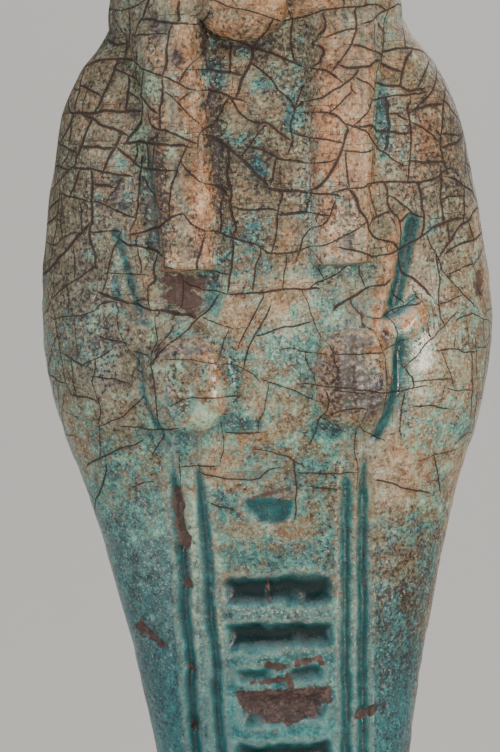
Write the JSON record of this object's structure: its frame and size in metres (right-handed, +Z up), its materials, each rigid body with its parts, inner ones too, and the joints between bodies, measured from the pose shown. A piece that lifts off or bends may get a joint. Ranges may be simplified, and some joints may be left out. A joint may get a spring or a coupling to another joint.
{
  "type": "ushabti figurine",
  "caption": "Upright mummiform ushabti in glazed faience with headdress, folded arms, hoes, a framed column of strokes, back pillar and plinth.",
  "frame": {"origin": "bottom of the plinth, in the middle of the overall width and depth", "axes": "+Z up along the figure, the face looks along -Y, +X to the right of someone facing the figure"},
  "size_m": [0.0434, 0.03, 0.16],
  "materials": {
    "glazed_faience": "satin"
  },
  "bodies": {
    "root": {"ushabti": "glazed_faience"}
  },
  "joints": []
}
